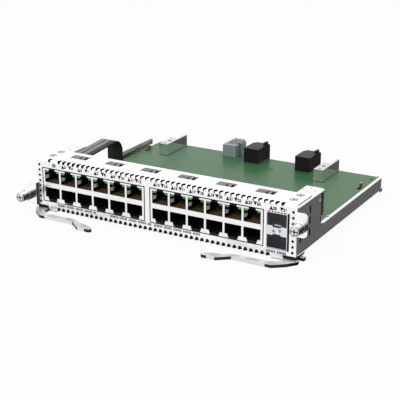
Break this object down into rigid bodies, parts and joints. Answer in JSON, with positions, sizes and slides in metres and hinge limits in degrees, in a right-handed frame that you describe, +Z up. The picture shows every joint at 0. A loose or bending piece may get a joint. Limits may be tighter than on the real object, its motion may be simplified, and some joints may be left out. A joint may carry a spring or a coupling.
{
  "type": "switch line card",
  "caption": "Network switch line card: a plated front panel with rows of modular jacks and a module cage, levers, thumb screws, side rails and board connectors.",
  "frame": {"origin": "below the middle of the front panel's front face, level with the underside of the levers, which the card rests on", "axes": "+X to the right along the panel, seen from its front, +Y back towards the rear connectors, +Z up"},
  "size_m": [0.2236, 0.1927, 0.0399],
  "materials": {
    "plated_sheet": "satin bright plating",
    "lever_metal": "satin die cast",
    "gasket_metal": "bright spring strip",
    "rivet_metal": "satin",
    "board_green": "solder mask",
    "shield_metal": "bright tin plating",
    "black_plastic": "moulded black",
    "contact_gold": "gold flash",
    "light_green": "translucent light pipe",
    "cage_metal": "bright plating",
    "strap_black": "flexible flat cable sheath",
    "plug_black": "moulded black",
    "chip_black": "moulded chip body",
    "can_metal": "drawn can",
    "guide_metal": "satin cast",
    "power_grey": "moulded grey",
    "standoff_metal": "turned",
    "screw_metal": "turned and plated"
  },
  "bodies": {
    "card": {"front_panel": "plated_sheet", "top_gasket_fingers": "gasket_metal", "panel_gasket_strips": "gasket_metal", "right_side_rail": "plated_sheet", "left_side_rail": "plated_sheet", "panel_rivets": "rivet_metal", "circuit_board": "board_green", "board_standoffs": "standoff_metal", "board_screws": "screw_metal", "board_pins": "standoff_metal", "left_jack_shield": "shield_metal", "right_jack_shield": "shield_metal", "left_jack_housing": "black_plastic", "right_jack_housing": "black_plastic", "left_jack_contacts": "contact_gold", "right_jack_contacts": "contact_gold", "left_jack_springs": "shield_metal", "right_jack_springs": "shield_metal", "left_light_pipes": "light_green", "right_light_pipes": "light_green", "module_cage": "cage_metal", "module_sockets": "black_plastic", "module_light_pipes": "light_green", "module_latch_springs": "gasket_metal", "module_gasket": "gasket_metal", "status_board": "board_green", "status_light": "light_green", "status_cable_header": "black_plastic", "main_cable_header": "black_plastic", "left_jumper_cable": "strap_black", "right_jumper_cable": "strap_black", "jumper_plugs": "plug_black", "port_chips": "chip_black", "chip_crystals": "can_metal", "power_coils": "chip_black", "board_capacitors": "can_metal", "left_guide_bracket": "guide_metal", "right_guide_bracket": "guide_metal", "left_backplane_connector": "black_plastic", "right_backplane_connector": "black_plastic", "backplane_pins": "contact_gold", "power_connector": "power_grey", "power_blades": "contact_gold", "lever_pivot_pins": "rivet_metal", "left_screw_collar": "screw_metal", "right_screw_collar": "screw_metal", "screw_springs": "gasket_metal"},
    "left_lever": {"left_lever": "lever_metal"},
    "right_lever": {"right_lever": "lever_metal"},
    "left_slider": {"left_screw_washer": "screw_metal"},
    "right_slider": {"right_screw_washer": "screw_metal"},
    "left_thumbscrew": {"left_screw_knob": "screw_metal", "left_captive_screw": "screw_metal"},
    "right_thumbscrew": {"right_screw_knob": "screw_metal", "right_captive_screw": "screw_metal"}
  },
  "joints": [
    {"name": "left_lever_pivot", "type": "hinge", "parent": "card", "child": "left_lever", "pos_m": [-0.0979, 0.006, 0.0013], "axis": [0, 0, 1], "range_deg": [-60, 0]},
    {"name": "right_lever_pivot", "type": "hinge", "parent": "card", "child": "right_lever", "pos_m": [0.0979, 0.006, 0.0013], "axis": [0, 0, 1], "range_deg": [0, 60]},
    {"name": "left_screw_slide", "type": "slide", "parent": "card", "child": "left_slider", "axis": [0, 1, 0], "range_m": [0, 0.0045], "stiffness_N_per_m": 300, "springref_m": -0.003},
    {"name": "left_screw_turn", "type": "hinge", "parent": "left_slider", "child": "left_thumbscrew", "pos_m": [-0.1076, -0.01, 0.0127], "axis": [0, 1, 0], "continuous": true},
    {"name": "right_screw_slide", "type": "slide", "parent": "card", "child": "right_slider", "axis": [0, 1, 0], "range_m": [0, 0.0045], "stiffness_N_per_m": 300, "springref_m": -0.003},
    {"name": "right_screw_turn", "type": "hinge", "parent": "right_slider", "child": "right_thumbscrew", "pos_m": [0.1076, -0.01, 0.0281], "axis": [0, 1, 0], "continuous": true}
  ]
}
